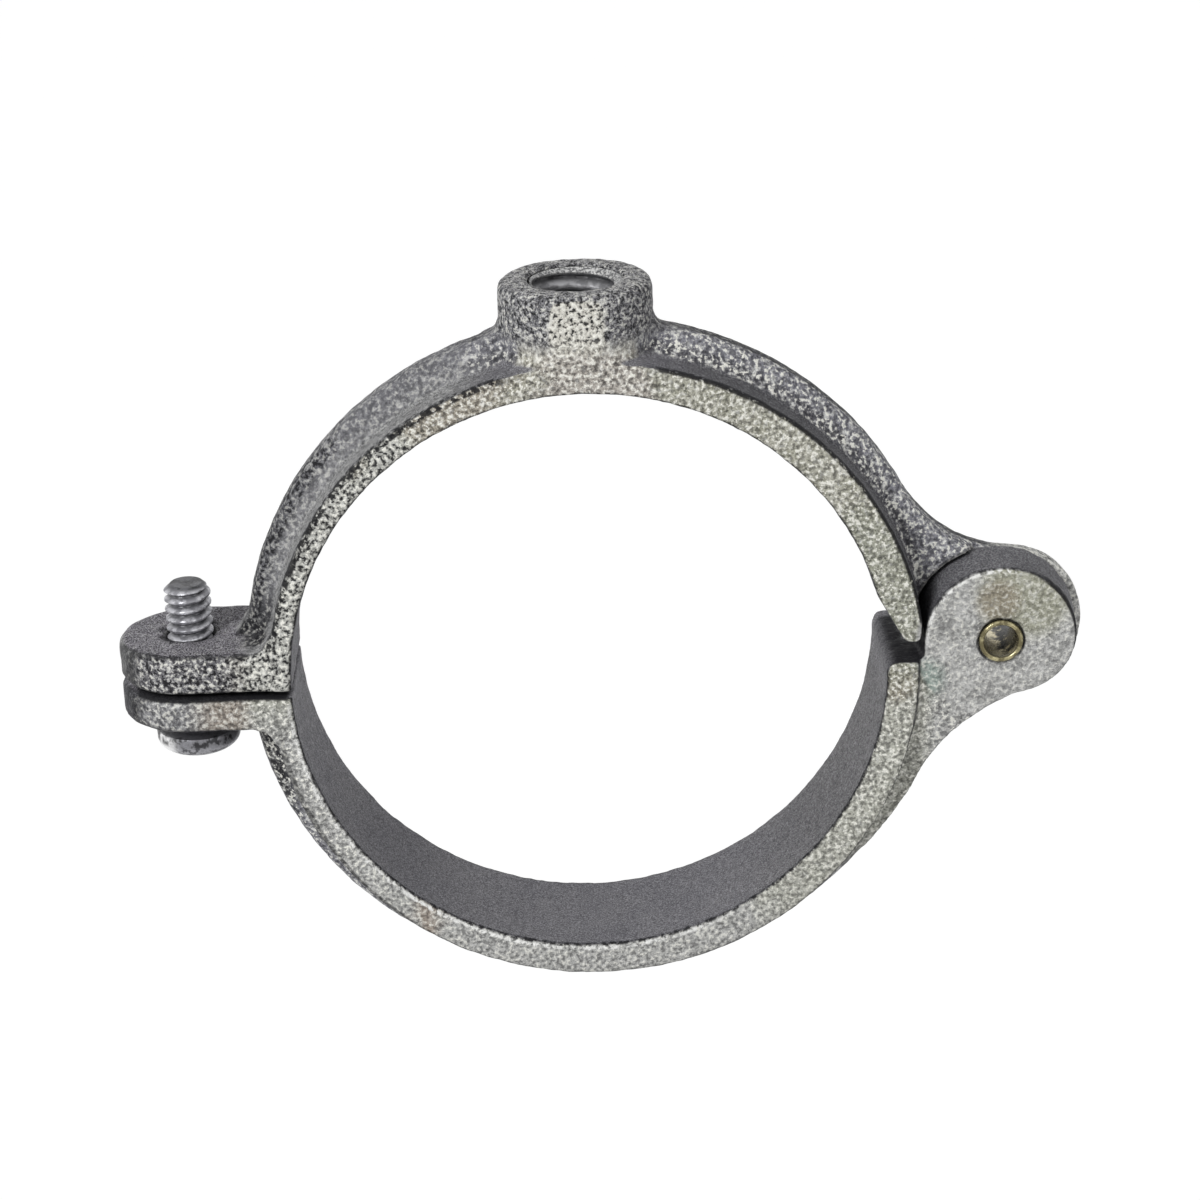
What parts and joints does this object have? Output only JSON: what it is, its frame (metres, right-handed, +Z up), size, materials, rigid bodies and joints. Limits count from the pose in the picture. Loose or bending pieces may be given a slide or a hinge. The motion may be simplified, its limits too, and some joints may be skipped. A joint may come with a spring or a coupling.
{
  "type": "split ring hanger",
  "caption": "Hinged cast split ring hanger that clamps a horizontal pipe below a threaded rod, closed by a machine screw.",
  "frame": {"origin": "centre of the pipe seat", "axes": "+X towards the hinge, +Y along the pipe, +Z up the hanger rod"},
  "size_m": [0.1003, 0.0148, 0.0774],
  "materials": {
    "casting": "galvanised, rough as cast",
    "screw": "zinc plated",
    "rivet": "yellow, dulled"
  },
  "bodies": {
    "upper_half": {"upper_half": "casting"},
    "lower_half": {"lower_half": "casting", "hinge_rivet": "rivet"},
    "closing_screw": {"closing_screw": "screw"}
  },
  "joints": [
    {"name": "ring_hinge", "type": "hinge", "parent": "upper_half", "child": "lower_half", "pos_m": [0.0423, 0, 0.0021], "axis": [0, -1, 0], "range_deg": [0, 110]},
    {"name": "screw_travel", "type": "slide", "parent": "lower_half", "child": "closing_screw", "axis": [0, 0, -1], "range_m": [0, 0.0102]}
  ]
}
